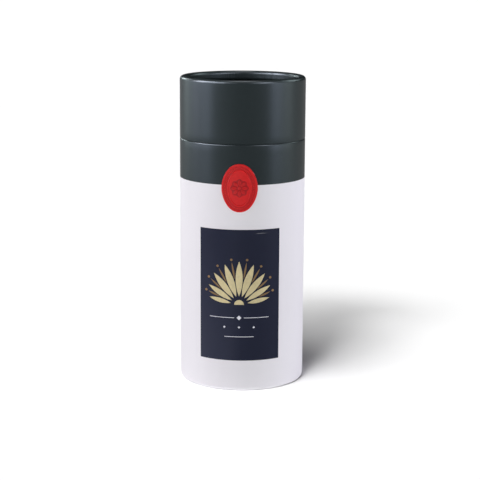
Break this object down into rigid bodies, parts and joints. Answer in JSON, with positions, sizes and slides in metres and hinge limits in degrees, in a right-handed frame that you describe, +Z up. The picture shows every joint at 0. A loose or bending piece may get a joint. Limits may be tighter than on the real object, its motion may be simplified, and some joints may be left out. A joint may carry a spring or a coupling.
{
  "type": "cylindrical gift tube box",
  "caption": "Tall round paperboard gift tube with rolled rims, a lift-off lid that slides over an inner neck, a wrapped front label and an oval seal.",
  "frame": {"origin": "centre of the foot, on the plane that the closed box stands on", "axes": "+Z up along the tube's axis towards the lid, -Y out of the middle of the front label, +X to the right as seen from the front"},
  "size_m": [0.104, 0.1049, 0.255],
  "materials": {
    "greyboard": "bare wound greyboard",
    "dark_paper": "soft satin laminated green-charcoal paper",
    "white_paper": "matt laminated white paper",
    "lining_paper": "uncoated off-white lining paper",
    "navy_label": "satin printed navy label paper",
    "gold_foil": "satin pale gold stamping foil",
    "bronze_foil": "satin bronze stamping foil",
    "pale_foil": "satin silver-grey stamping foil",
    "red_seal": "embossed red seal with a soft satin shine"
  },
  "bodies": {
    "base": {"base_tube": "greyboard", "base_wrap": "white_paper", "collar_band": "dark_paper", "neck_tube": "greyboard", "neck_cover": "dark_paper", "neck_lining": "lining_paper", "base_disc": "greyboard", "underside_paper": "white_paper", "floor_paper": "lining_paper", "front_label": "navy_label", "gold_foil": "gold_foil", "bronze_foil": "bronze_foil", "pale_foil": "pale_foil", "oval_seal": "red_seal"},
    "lid": {"lid_tube": "greyboard", "lid_wrap": "dark_paper", "lid_lining": "lining_paper", "lid_disc": "greyboard", "lid_top_paper": "dark_paper", "lid_ceiling_paper": "lining_paper"}
  },
  "joints": [
    {"name": "lid_lift", "type": "slide", "parent": "base", "child": "lid", "axis": [0, 0, 1], "range_m": [0, 0.15]}
  ]
}
